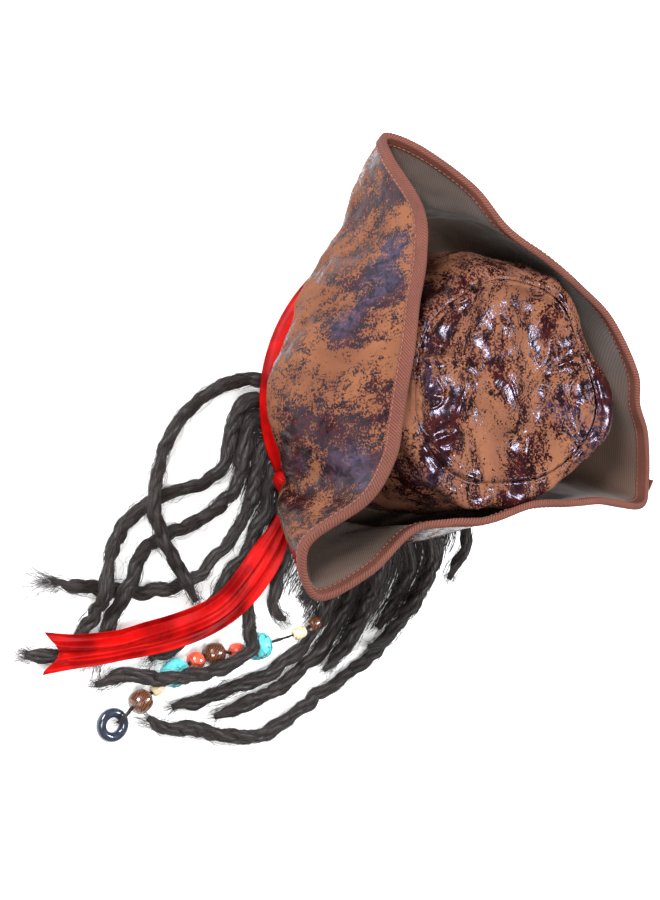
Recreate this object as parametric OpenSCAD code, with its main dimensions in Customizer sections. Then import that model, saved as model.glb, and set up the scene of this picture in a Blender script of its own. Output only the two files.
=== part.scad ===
// Costume tricorn hat with a bandana, a fringe of dreadlocks and a strand of beads.
// Millimetres. The origin is the centre of the head opening on the surface that the hat stands on.
// +Z is up, -Y is the front of the hat, +X is the wearer's left.

/* [Head opening] */
// Inside half length of the head opening, front to back
head_y = 96; // [94:0.5:98]
// Inside half width of the head opening
head_x = 82; // [80:0.5:84]
// Height of the stiff headband
band_h = 46; // [44:1:48]
// Height of the sweatband inside the headband
sweat_h = 32; // [20:1:40]

/* [Crown] */
// Height of the seam between the crown's side and its tip
crown_h = 158; // [150:1:165]
// Half length of the tip, front to back
tip_y = 75; // [70:1:78]
// Half width of the tip
tip_x = 71; // [66:1:74]
// How far the tip leans out over the wearer's right front, as a share of its radius
tip_lean = 0.18; // [0:0.01:0.2]
// How far the crown's side swells past a straight cone
crown_swell = 10; // [6:1:12]
// How much further it swells over the wearer's right front, where the crown slumps
crown_slump = 16; // [0:1:18]
// Depth of the dent in the tip
tip_dent = 9; // [0:1:14]

/* [Brim] */
// Thickness of the foam core between the brim's skins
core_t = 1.4; // [1:0.1:2]
// Thickness of the faux leather
leather_t = 1; // [0.8:0.1:1.4]
// Thickness of the twill lining
lining_t = 0.8; // [0.6:0.1:1.2]
// Width of the binding tape on each face of the edge
tape_w = 9; // [6:0.5:12]

/* [Bandana] */
// Lowest edge of the band
bandana_low = 14; // [13.5:0.1:15]
// Highest edge of the band
bandana_high = 41.5; // [40:0.5:42]
// Thickness of the folded satin
satin_t = 2; // [1:0.1:2.4]
// Width of each tail
tail_w = 19; // [16:0.5:22]
// Thickness of each tail
tail_t = 1.4; // [1:0.1:1.6]

/* [Hair] */
// Radius of a dreadlock
lock_r = 6; // [5:0.1:6.1]
// Radius of the thin lock that carries the beads
strand_r = 1.2; // [1:0.1:1.3]
// Radius of the beads' bores
bore_r = 1.7; // [1.6:0.1:1.9]

/* [Hidden] */

leather = "peru";
dark_leather = "saddlebrown";
twill = "dimgray";
tape = "sienna";
satin = "red";
hair = [0.2, 0.17, 0.16];

// Layers between the head and the bandana, as offsets from the inside of the head opening
sweat_t = 1.2;
board_t = 1.4;
weft_t = 2;
gap = 0.1;
board_in = sweat_t + gap;
board_out = board_in + board_t;
weft_in = board_out + 0.4;
weft_out = weft_in + weft_t;
weft_low = 2;
weft_high = 40;
bandana_gap_low = 13.5;
bandana_gap_high = 5.6;
bandana_bulge = 0.8;
bandana_tuck = 2.6;

// Brim: where its inner edge is sewn, and the handles of the curve from there to its outer edge
brim_in = board_out + 1.8;
brim_z = 48;
sag_out = 27;
sag_z = 22;
rise_out = 48;
rise_z = 58;
rise_follow = 0.25;
// The flap behind the wearer's right ear stands up closer to the crown
pinch_angle = 137;
pinch_rise = 28;
pinch_sag = 9;
// The flap over the wearer's left ear sags less
flank_angle = 25;
flank_sag = 7;

columns = 66;
brim_rows = 7;
crown_columns = 48;

// The brim's edge, corner by corner: [angle, distance from the middle, height]
edge_keys = [
    [60, 97, 168], [70, 110, 168], [77, 138, 163], [80, 180, 136], [90, 195, 133],
    [95, 160, 145], [101, 118, 142], [112, 101, 150], [127, 93, 160], [150, 86, 165],
    [170, 103, 165], [181, 122, 163], [191, 164, 150], [198, 167, 143], [209, 146, 151],
    [217, 126, 159], [228, 117, 165], [250, 102, 166], [270, 92, 166], [292, 91, 167],
    [314, 105, 163], [323, 135, 152], [330, 167, 126], [335, 182, 111], [341, 171, 134],
    [346, 137, 162], [355, 112, 167], [10, 96, 168], [28, 88, 170], [45, 90, 170]];

// Where each dreadlock leaves the weft, and its way across the floor
lock_roots = [43, 51, 59, 70, 78, 86, 94, 108, 117, 126, 135, 145, 155];
f = 6.3;
lock_paths = [
    [[88, 82, f], [96, 96, f], [101, 112, f], [103, 130, f], [101, 147, f], [98, 163, 9],
        [94, 178, 16], [87, 192, 19.9], [78, 201, 19.9], [68, 207, 19.9], [56, 212, 19.9],
        [44, 215, 19.5], [31, 218, 19.5], [20, 220, 19.5], [11, 221, 18]],
    [[73, 88, f], [71, 105, f], [60, 122, f], [55, 139, f], [59, 155, f], [70, 171, f], [79, 187, f],
        [84, 206, f], [85, 226, 8], [80, 245, 16], [70, 264, 20.5], [63, 278, 10], [57, 294, f],
        [58, 311, f], [68, 323, f], [82, 331, f]],
    [[59, 98, f], [51, 113, f], [42, 127, f], [37, 143, f], [38, 161, f], [46, 182, f], [57, 203, f],
        [63, 222, 10], [62, 241, 19], [56, 257, 19.7], [48, 271, 8], [40, 284, f], [34, 297, f]],
    [[42, 103, f], [33, 115, f], [25, 129, f], [19, 144, f], [15, 160, f], [13, 178, f], [14, 197, f],
        [19, 214, f], [29, 229, f], [42, 242, f], [54, 252, f], [66, 261, f], [77, 269, f],
        [88, 276, f], [99, 282, f]],
    [[21, 109, f], [15, 119, f], [8, 131, f], [3, 145, f], [-1, 160, f], [-4, 178, f], [-4, 196, f],
        [-6, 214, f], [-7, 232, f], [-5, 250, f], [0, 262, f], [4, 272, f]],
    [[4, 112, f], [-3, 123, f], [-9, 135, f], [-14, 149, f], [-18, 164, f], [-22, 179, f],
        [-30, 194, 7], [-38, 206, 14], [-44, 219, 23], [-43, 233, 24], [-36, 246, 24],
        [-26, 257, 26], [-16, 268, 28.5], [-7, 278, 25], [3, 285, 16], [12, 293, 8], [18, 303, f],
        [24, 313, f]],
    [[-11, 112, f], [-18, 122, f], [-26, 134, f], [-31, 149, f], [-36, 163, f], [-43, 175, f],
        [-53, 182, f], [-63, 181, f]],
    [[-36, 106, f], [-46, 118, f], [-56, 131, f], [-62, 146, f], [-65, 160, f]],
    [[-52, 99, f], [-64, 112, f], [-75, 128, f], [-83, 146, f], [-88, 165, f], [-88, 185, f],
        [-83, 205, f], [-76, 224, f], [-65, 243, f], [-54, 259, f], [-43, 274, f], [-35, 286, f]],
    [[-67, 89, f], [-80, 101, f], [-91, 118, f], [-98, 138, f], [-102, 160, f], [-103, 180, f],
        [-99, 200, f], [-93, 220, f], [-85, 238, f], [-76, 254, f], [-66, 269, f]],
    [[-79, 76, f], [-94, 87, f], [-106, 103, f], [-113, 122, f], [-117, 142, f], [-119, 160, f],
        [-118, 176, f]],
    [[-89, 60, f], [-106, 67, f], [-120, 79, f], [-127, 97, f], [-130, 116, f], [-131, 132, f]],
    [[-98, 42, f], [-117, 44, f], [-133, 53, f], [-141, 71, f], [-143, 93, f], [-144, 115, f],
        [-144, 135, f], [-140, 155, f], [-134, 175, f], [-127, 196, f], [-120, 217, f], [-113, 238, f],
        [-104, 257, f], [-90, 270, f], [-72, 280, f], [-54, 290, f], [-38, 300, f], [-23, 305, f]]];

// Three locks that come out under the bandana's edge and lie on top of the others
upper_roots = [129, 149, 163];
upper_z = 19.5;
upper_paths = [
    [[-84, 91, 19.5], [-97, 112, 18.5], [-105, 134, 18], [-109, 156, 18], [-111, 174, 18],
        [-107, 190, 19.2]],
    [[-110, 57, 19.5], [-124, 64, 19.5], [-134, 80, 18.5], [-136, 100, 18], [-137, 122, 18],
        [-136, 140, 17], [-130, 151, 13]],
    [[-113, 33, 19.5], [-127, 27, 19], [-138, 31, 18.5], [-144, 42, 18.5], [-147, 54, 18.5],
        [-148, 66, 18.5]]];

// The bead strand: its way from the weft, the beads' centres, and its end in the ring
strand_root = 101;
strand_lead = [[-21, 111, 12], [-30, 121, 15.2], [-42, 132, 15.2], [-56, 143, 15.2], [-68, 151, 15.5],
    [-77, 159, 17]];
bead_places = [[-77, 171, 19], [-72, 184, 18.5], [-56, 211, 10.5], [-46, 225, 9.2], [-32, 238, 8.7],
    [-24, 251, 8.7], [-16, 268, 10.3], [-13, 284.5, 9.6], [-9, 299.5, 9.4]];
// [half length, radius at the middle, radius at the ends]
dark_small = [4.5, 5, 3.4];
bone = [5, 4.6, 3.2];
turquoise = [9, 10, 6];
coral = [5.2, 7, 4.2];
dark_oval = [7.6, 8.4, 4.4];
bead_sizes = [dark_small, bone, turquoise, coral, dark_oval, coral, turquoise, bone, dark_oval];
bead_colours = ["saddlebrown", "wheat", "turquoise", "tomato", "saddlebrown", "tomato", "turquoise",
    "wheat", "saddlebrown"];
ring_centre = [-6, 324, 3.9];
ring_r = 8.6;
ring_wire_r = 3.5;

// Tails: middle lines from the knot to the tips
knot_centre = [12, 115.5, 24.2];
knot_half = [14, 8, 10.2];
tail_lower_path = [[-1, 127, 22], [-9, 137, 18.5], [-15, 150, 15.5], [-19, 168, 14.4], [-20, 188, 14.4],
    [-17, 208, 14.4], [-9, 229, 14.4], [3, 249, 14.4], [16, 266, 14.4], [29, 281, 14.4],
    [41, 295, 14.4], [56, 311, 14.4], [71, 328, 14.4]];
tail_upper_path = [[6, 127, 26], [-1, 136, 22], [-6, 150, 18.6], [-9, 168, 17], [-9, 188, 18.5],
    [-5, 209, 24], [3, 228, 27], [13, 248, 21], [24, 265, 17], [35, 281, 16.8],
    [48, 295, 16.8], [62, 308, 16.8], [79, 320, 16.8]];

// ---- geometry helpers ----

function unit(v) = v / norm(v);

function oval_r(a, grow, half_y = head_y, half_x = head_x) =
    let(y = half_y + grow, x = half_x + grow)
    x * y / sqrt(pow(x * sin(a), 2) + pow(y * cos(a), 2));

function oval_at(a, grow, z, half_y = head_y, half_x = head_x) =
    let(r = oval_r(a, grow, half_y, half_x)) [r * cos(a), r * sin(a), z];

function oval_outline(grow, n = 72) = [for (i = [0 : n - 1])
    let(p = oval_at(i * 360 / n, grow, 0)) [p.x, p.y]];

// Smooth curve through four neighbours, s from 0 at b to 1 at c
function through(a, b, c, d, s) =
    0.5 * (2 * b + (c - a) * s + (2 * a - 5 * b + 4 * c - d) * s * s + (3 * b - a - 3 * c + d) * s * s * s);

function bezier(a, b, c, d, s) =
    pow(1 - s, 3) * a + 3 * pow(1 - s, 2) * s * b + 3 * (1 - s) * s * s * c + pow(s, 3) * d;

// Normals of a grid that closes on itself along its first index
function closed_normals(g) = [for (i = [0 : len(g) - 1])
    let(m = len(g), n = len(g[0]), before = g[(i + m - 1) % m], after = g[(i + 1) % m])
    [for (j = [0 : n - 1])
        unit(cross(after[j] - before[j], g[i][min(j + 1, n - 1)] - g[i][max(j - 1, 0)]))]];

function shifted(g, normals, d) = [for (i = [0 : len(g) - 1])
    [for (j = [0 : len(g[0]) - 1]) g[i][j] + d * normals[i][j]]];

function flat(rows) = [for (row = rows) each row];

// Closed ring of material between two grids; first index goes round, outer is on the normals' side
module ring_shell(outer, inner) {
    m = len(outer);
    n = len(outer[0]);
    faces_out = [for (i = [0 : m - 1], j = [0 : n - 2])
        let(a = i * n + j, b = ((i + 1) % m) * n + j) each [[a, a + 1, b], [b, a + 1, b + 1]]];
    faces_in = [for (t = faces_out) [t[2] + m * n, t[1] + m * n, t[0] + m * n]];
    rims = [for (i = [0 : m - 1])
        let(a = i * n, b = ((i + 1) % m) * n, c = a + n - 1, d = b + n - 1, s = m * n)
        each [[a, b, a + s], [b, b + s, a + s], [c, c + s, d], [d, c + s, d + s]]];
    polyhedron(concat(flat(outer), flat(inner)), concat(faces_out, faces_in, rims));
}

// Dome between two grids whose last points are joined to one middle point
module dome_shell(outer, inner, top, under) {
    m = len(outer);
    n = len(outer[0]);
    s = m * n;
    faces_out = concat(
        [for (i = [0 : m - 1], j = [0 : n - 2])
            let(a = i * n + j, b = ((i + 1) % m) * n + j) each [[a, a + 1, b], [b, a + 1, b + 1]]],
        [for (i = [0 : m - 1]) [i * n + n - 1, 2 * s, ((i + 1) % m) * n + n - 1]]);
    faces_in = [for (t = faces_out)
        [for (k = [2 : -1 : 0]) t[k] == 2 * s ? 2 * s + 1 : t[k] + s]];
    rim = [for (i = [0 : m - 1])
        let(a = i * n, b = ((i + 1) % m) * n) each [[a, b, a + s], [b, b + s, a + s]]];
    polyhedron(concat(flat(outer), flat(inner), [top, under]), concat(faces_out, faces_in, rim));
}

// Round cord swept along its own points, with flat ends; a sewn root is drawn in a little
module cord_tube(path, r, sides = 8, root_taper = false) {
    n = len(path);
    rings = [for (i = [0 : n - 1])
        let(along = unit(path[min(i + 1, n - 1)] - path[max(i - 1, 0)]),
            side = unit(cross([0, 0, 1], along)), up = cross(along, side),
            ring_r = root_taper && i < 2 ? r * (0.7 + 0.15 * i) : r)
        [for (k = [0 : sides - 1])
            path[i] + ring_r * cos(k * 360 / sides) * side + ring_r * sin(k * 360 / sides) * up]];
    walls = [for (i = [0 : n - 2], k = [0 : sides - 1])
        let(a = i * sides + k, b = i * sides + (k + 1) % sides)
        each [[a, b + sides, b], [a, a + sides, b + sides]]];
    first_end = [[for (k = [0 : sides - 1]) k]];
    last_end = [[for (k = [sides - 1 : -1 : 0]) (n - 1) * sides + k]];
    polyhedron(flat(rings), concat(walls, first_end, last_end));
}

// Ribbon of even width along its middle line, narrowing to its tip
module ribbon(path, width, thick) {
    n = len(path);
    sections = [for (i = [0 : n - 1])
        let(along = unit(path[min(i + 1, n - 1)] - path[max(i - 1, 0)]),
            side = unit(cross([0, 0, 1], along)),
            half = width / 2 * (i == n - 1 ? 0.15 : i == 0 ? 0.5 : i == 1 ? 0.8 : 1),
            lift = [0, 0, thick / 2])
        [path[i] + half * side + lift, path[i] - half * side + lift,
            path[i] - half * side - lift, path[i] + half * side - lift]];
    walls = [for (i = [0 : n - 2], k = [0 : 3])
        let(a = i * 4 + k, b = i * 4 + (k + 1) % 4) each [[a, a + 4, b], [b, a + 4, b + 4]]];
    polyhedron(flat(sections),
        concat(walls, [[0, 1, 2], [0, 2, 3]], [for (t = [[2, 1, 0], [3, 2, 0]]) t + (n - 1) * [4, 4, 4]]));
}

module oval_ring(inner_grow, outer_grow, low, high) {
    translate([0, 0, low])
        linear_extrude(high - low)
            difference() {
                polygon(oval_outline(outer_grow));
                polygon(oval_outline(inner_grow));
            }
}

// ---- brim surface ----

key_points = [for (k = edge_keys) [k[1] * cos(k[0]), k[1] * sin(k[0]), k[2]]];

function edge_at(i) = let(m = len(key_points), u = i * m / columns, k = floor(u))
    through(key_points[(k + m - 1) % m], key_points[k % m], key_points[(k + 1) % m],
        key_points[(k + 2) % m], u - k);

function brim_at(edge, s) =
    let(a = atan2(edge.y, edge.x), out = norm([edge.x, edge.y]), r = oval_r(a, brim_in),
        pinch = pow(max(0, cos(a - pinch_angle)), 2),
        sag = sag_out - pinch_sag * pinch - flank_sag * pow(max(0, cos(a - flank_angle)), 2),
        bow = r + rise_out - pinch_rise * pinch + rise_follow * max(0, out - r - 20),
        p = bezier([r, brim_z], [r + sag, sag_z], [bow, rise_z], [out, edge.z], s))
    [p[0] * cos(a), p[0] * sin(a), p[1]];

brim_mid = [for (i = [0 : columns - 1])
    let(edge = edge_at(i)) [for (j = [0 : brim_rows - 1]) brim_at(edge, j / (brim_rows - 1))]];
brim_normals = closed_normals(brim_mid);
function brim_layer(d) = shifted(brim_mid, brim_normals, d);

leather_in = core_t / 2 + gap / 2;
leather_out = leather_in + leather_t;
lining_in = core_t / 2 + gap / 2;
lining_out = lining_in + lining_t;

module brim_core() color(twill) ring_shell(brim_layer(core_t / 2), brim_layer(-core_t / 2));
module brim_outer() color(leather) ring_shell(brim_layer(leather_out), brim_layer(leather_in));
module brim_lining() color(twill) ring_shell(brim_layer(-lining_in), brim_layer(-lining_out));

// Tape folded over the edge: a channel that follows the last row of the brim
tape_t = 0.7;
module brim_binding() {
    m = columns;
    n = brim_rows;
    section = [for (i = [0 : m - 1])
        let(e = brim_mid[i][n - 1], normal = brim_normals[i][n - 1],
            down = unit(brim_mid[i][n - 2] - e),
            a = leather_out + gap, b = -lining_out - gap)
        [e + normal * a + down * tape_w, e + normal * a - down * gap, e + normal * b - down * gap,
            e + normal * b + down * tape_w, e + normal * (b - tape_t) + down * tape_w,
            e + normal * (b - tape_t) - down * tape_t, e + normal * (a + tape_t) - down * tape_t,
            e + normal * (a + tape_t) + down * tape_w]];
    walls = [for (i = [0 : m - 1], k = [0 : 7])
        let(a = i * 8 + k, b = i * 8 + (k + 1) % 8, c = ((i + 1) % m) * 8 + k,
            d = ((i + 1) % m) * 8 + (k + 1) % 8)
        each [[a, c, b], [c, d, b]]];
    color(tape) polyhedron(flat(section), walls);
}

// Folded end of the tape, which stands on the edge of the wearer's right front corner
end_size = [9, 1.4, 13];
end_angle = 198;
end_edge = [167, 143];
end_out = 4.4;
end_drop = 6;
module binding_end() {
    radial = [cos(end_angle), sin(end_angle)];
    e = brim_at([end_edge[0] * radial.x, end_edge[0] * radial.y, end_edge[1]], 1);
    color(tape)
        translate(e + [end_out * radial.x, end_out * radial.y, -end_drop])
            rotate([0, 0, end_angle + 90])
                cube(end_size, center = true);
}

// ---- crown ----

crown_rows = 7;
crown_base = board_out - 0.2;
crown_low = 47;

// The tip isn't a true oval: [angle, sharpness, share of its radius]
tip_waves = [[204, 6, tip_lean], [48, 4, 0.06], [112, 8, -0.07]];
function tip_r(a) = oval_r(a, 0, tip_y, tip_x)
    * (1 + [for (w = tip_waves) w[2]] * [for (w = tip_waves) pow(max(0, cos(a - w[0])), w[1])]);

slump_angle = 219;
function crown_side_at(a, s, d) =
    let(low = oval_r(a, crown_base + d), high = tip_r(a) + 0.4 * d,
        slump = max(0, cos(a - slump_angle)), swell = crown_swell + crown_slump * slump,
        p = bezier([low, crown_low], [low + swell * 0.35, crown_low + 45],
            [high + swell + 6 + 0.6 * d, crown_h - 6 + 8 * slump + 0.8 * d], [high, crown_h + d], s))
    [p[0] * cos(a), p[0] * sin(a), p[1]];

function crown_side_grid(d) = [for (i = [0 : crown_columns - 1])
    [for (j = [0 : crown_rows - 1]) crown_side_at(i * 360 / crown_columns, j / (crown_rows - 1), d)]];

// The tip dips towards its middle
function tip_at(a, k, d) =
    let(r = tip_r(a) * k) [r * cos(a), r * sin(a), crown_h - tip_dent * (1 - k * k) + d];
function tip_grid(d, from = 0.985) = [for (i = [0 : crown_columns - 1])
    [for (k = [from, 0.7, 0.35]) tip_at(i * 360 / crown_columns, k, d)]];

module crown_side() color(leather) ring_shell(crown_side_grid(leather_t), crown_side_grid(0));
module crown_tip()
    color(dark_leather)
        dome_shell(tip_grid(leather_t), tip_grid(0),
            [0, 0, crown_h - tip_dent + leather_t], [0, 0, crown_h - tip_dent]);
module crown_lining() {
    function lining_grid(d) = [for (i = [0 : crown_columns - 1])
        concat([for (j = [0 : crown_rows - 2])
            crown_side_at(i * 360 / crown_columns, j / (crown_rows - 1), d)],
            [for (k = [0.97, 0.6, 0.3]) tip_at(i * 360 / crown_columns, k, d)])];
    color(twill)
        dome_shell(lining_grid(-0.4), lining_grid(-0.4 - lining_t),
            [0, 0, crown_h - tip_dent - 0.4], [0, 0, crown_h - tip_dent - 0.4 - lining_t]);
}

// ---- head opening ----

sweat_low = 1.5;
module sweatband() color(dark_leather) oval_ring(0, sweat_t, sweat_low, sweat_h);
module headband() color(twill) oval_ring(board_in, board_out, 0, band_h);

// The weft runs round the back and the sides, where the hair grows
weft_from = 34;
weft_to = 164;
module hair_weft() {
    steps = 26;
    angles = [for (i = [0 : steps]) weft_from + (weft_to - weft_from) * i / steps];
    outline = concat([for (a = angles) let(p = oval_at(a, weft_out, 0)) [p.x, p.y]],
        [for (i = [steps : -1 : 0]) let(p = oval_at(angles[i], weft_in, 0)) [p.x, p.y]]);
    color(hair) translate([0, 0, weft_low]) linear_extrude(weft_high - weft_low) polygon(outline);
}

// ---- bandana ----

module bandana_band() {
    function grid(d) = [for (i = [0 : crown_columns - 1])
        let(a = i * 360 / crown_columns)
        [oval_at(a, weft_out + bandana_gap_low + d - satin_t, bandana_low),
            oval_at(a, weft_out + (bandana_gap_low + bandana_gap_high) / 2 + d - satin_t + bandana_bulge,
                (bandana_low + bandana_high) / 2),
            oval_at(a, weft_out + bandana_gap_high + d - satin_t - bandana_tuck, bandana_high)]];
    color(satin) ring_shell(grid(satin_t), grid(0));
}
module bandana_knot()
    color(satin) translate(knot_centre) resize(2 * knot_half) sphere(r = 10, $fn = 20);
module tail_lower() color(satin) ribbon(tail_lower_path, tail_w, tail_t);
module tail_upper() color(satin) ribbon(tail_upper_path, tail_w, tail_t);

// ---- hair ----

root_gap = 0.6;
root_out = 5;
upper_gap = 16;
function lock_path(i) = concat(
    [for (d = [root_gap, root_out]) oval_at(lock_roots[i], weft_out + d, f)], lock_paths[i]);
function upper_path(i) = concat([oval_at(upper_roots[i], weft_out + upper_gap, upper_z)], upper_paths[i]);
module dreadlock(i) color(hair) cord_tube(lock_path(i), lock_r, root_taper = true);
module upper_dreadlock(i) color(hair) cord_tube(upper_path(i), lock_r);

bead_count = len(bead_places);
ring_near = ring_centre - [0, ring_r, 0];
function bead_axis(i) = unit(bead_places[min(i + 1, bead_count - 1)] - bead_places[max(i - 1, 0)]);
strand_path = concat(
    [oval_at(strand_root, weft_out + root_gap, 8)], strand_lead,
    [for (i = [0 : bead_count - 1], side = [-1, 1])
        bead_places[i] + side * (bead_sizes[i][0] - 0.2) * bead_axis(i)],
    [ring_near + [0, -3.4, 7.4], ring_near + [0, 1, 6.6], ring_near + [0, 6, 3]]);
module bead_strand() color(hair) cord_tube(strand_path, strand_r);

// Bead with a true bore, turned about its own axis
module bead(i) {
    half = bead_sizes[i][0];
    r = bead_sizes[i][1];
    end_r = bead_sizes[i][2];
    axis = bead_axis(i);
    color(bead_colours[i])
        translate(bead_places[i])
            rotate([0, acos(axis.z), atan2(axis.y, axis.x)])
                rotate_extrude($fn = 40)
                    polygon(concat([[bore_r, -half]],
                        [for (t = [0 : 8]) let(w = -1 + t / 4)
                            [end_r + (r - end_r) * sqrt(1 - w * w * 0.999), half * w]],
                        [[bore_r, half]]));
}

module strand_ring()
    color([0.1, 0.11, 0.14])
        translate(ring_centre)
            rotate_extrude($fn = 48) translate([ring_r, 0]) circle(r = ring_wire_r, $fn = 24);

sweatband();
headband();
hair_weft();
crown_lining();
crown_side();
crown_tip();
brim_core();
brim_outer();
brim_lining();
brim_binding();
binding_end();
bandana_band();
bandana_knot();
tail_lower();
tail_upper();
dreadlock(0);  // dreadlock_01
dreadlock(1);  // dreadlock_02
dreadlock(2);  // dreadlock_03
dreadlock(3);  // dreadlock_04
dreadlock(4);  // dreadlock_05
dreadlock(5);  // dreadlock_06
dreadlock(6);  // dreadlock_07
dreadlock(7);  // dreadlock_08
dreadlock(8);  // dreadlock_09
dreadlock(9);  // dreadlock_10
dreadlock(10);  // dreadlock_11
dreadlock(11);  // dreadlock_12
dreadlock(12);  // dreadlock_13
upper_dreadlock(0);  // dreadlock_14
upper_dreadlock(1);  // dreadlock_15
upper_dreadlock(2);  // dreadlock_16
bead_strand();
bead(0);  // bead_1
bead(1);  // bead_2
bead(2);  // bead_3
bead(3);  // bead_4
bead(4);  // bead_5
bead(5);  // bead_6
bead(6);  // bead_7
bead(7);  // bead_8
bead(8);  // bead_9
strand_ring();
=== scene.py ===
"""Looks of a costume tricorn hat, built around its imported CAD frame. Lengths in the code are millimetres."""

import math

import bpy
import numpy as np
from mathutils import Matrix, Vector


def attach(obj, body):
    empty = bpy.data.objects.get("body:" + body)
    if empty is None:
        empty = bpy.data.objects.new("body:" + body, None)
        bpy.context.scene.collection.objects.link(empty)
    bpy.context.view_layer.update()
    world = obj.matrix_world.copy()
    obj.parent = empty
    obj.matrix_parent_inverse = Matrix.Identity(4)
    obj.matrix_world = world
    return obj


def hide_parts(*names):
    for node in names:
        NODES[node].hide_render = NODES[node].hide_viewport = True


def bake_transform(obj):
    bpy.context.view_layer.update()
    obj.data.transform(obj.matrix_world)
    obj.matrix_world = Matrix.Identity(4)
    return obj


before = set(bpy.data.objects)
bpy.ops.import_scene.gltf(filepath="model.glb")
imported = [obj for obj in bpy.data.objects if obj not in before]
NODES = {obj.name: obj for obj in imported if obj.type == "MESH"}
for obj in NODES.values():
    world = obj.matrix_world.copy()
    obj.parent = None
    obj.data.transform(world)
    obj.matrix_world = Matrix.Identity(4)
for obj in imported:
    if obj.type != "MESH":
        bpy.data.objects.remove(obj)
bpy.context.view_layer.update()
MM = 0.001
TURN = 2 * math.pi

# ---- camera, light and floor ----


def make_camera():
    """A camera that lies on its side, so that the hat's up points to the right of the picture."""
    elevation, azimuth, roll = map(math.radians, (56.24, 39.44, -3.91))
    target, distance, lens = Vector((0.02264, 0.08724, 0.06)), 1.3, 73.39
    back = Vector((math.cos(elevation) * math.cos(azimuth),
                   math.cos(elevation) * math.sin(azimuth), math.sin(elevation)))
    up = Vector((0, 0, 1)) - back * back.z
    up.normalize()
    side = up.cross(back)
    x_axis = math.cos(roll) * up + math.sin(roll) * side
    y_axis = math.sin(roll) * up - math.cos(roll) * side
    camera = bpy.data.objects.new("camera", bpy.data.cameras.new("camera"))
    camera.data.lens = lens
    camera.data.sensor_width = 36
    camera.data.clip_start, camera.data.clip_end = 0.01, 50
    bpy.context.scene.collection.objects.link(camera)
    turned = Matrix((x_axis, y_axis, back)).transposed().to_4x4()
    camera.matrix_world = Matrix.Translation(target + back * distance) @ turned
    bpy.context.scene.camera = camera
    return x_axis, y_axis, back


def area_light(name, place, size, power, colour):
    """A round lamp that points at the middle of the hat and its hair."""
    light = bpy.data.lights.new(name, "AREA")
    light.shape, light.size, light.energy, light.color = "DISK", size, power, colour
    lamp = bpy.data.objects.new(name, light)
    bpy.context.scene.collection.objects.link(lamp)
    lamp.location = place
    lamp.rotation_mode = "QUATERNION"
    lamp.rotation_quaternion = (LIT - place).to_track_quat("-Z", "Y")


LIT = Vector((0, 0.1, 0.05))
RIGHT, UP, BACK = make_camera()
bpy.context.scene.view_settings.view_transform = "Standard"
world = bpy.data.worlds.new("studio")
bpy.context.scene.world = world
world.use_nodes = True
world.node_tree.nodes["Background"].inputs["Color"].default_value = (1, 1, 1, 1)
world.node_tree.nodes["Background"].inputs["Strength"].default_value = 0.22
HAT = Vector((0, 0.08, 0.08))
# Across the hat from the camera, where the level film mirrors a lamp
MIRRORED = Vector((-BACK.x, -BACK.y, BACK.z))
area_light("key", HAT + BACK * 1.3 - RIGHT * 0.25 + UP * 0.50, 0.34, 15.5, (1, 0.985, 0.96))
area_light("fill", HAT + BACK * 1.5 + RIGHT * 0.15 - UP * 0.30, 0.5, 15, (1, 0.99, 0.97))
area_light("gloss", HAT + MIRRORED * 1.3 + UP * 0.1, 0.32, 22, (0.93, 0.95, 1))
area_light("ridge", HAT + Vector((1.05, 0.0, 0.62)), 0.30, 12, (0.88, 0.90, 1))


# ---- materials ----


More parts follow.
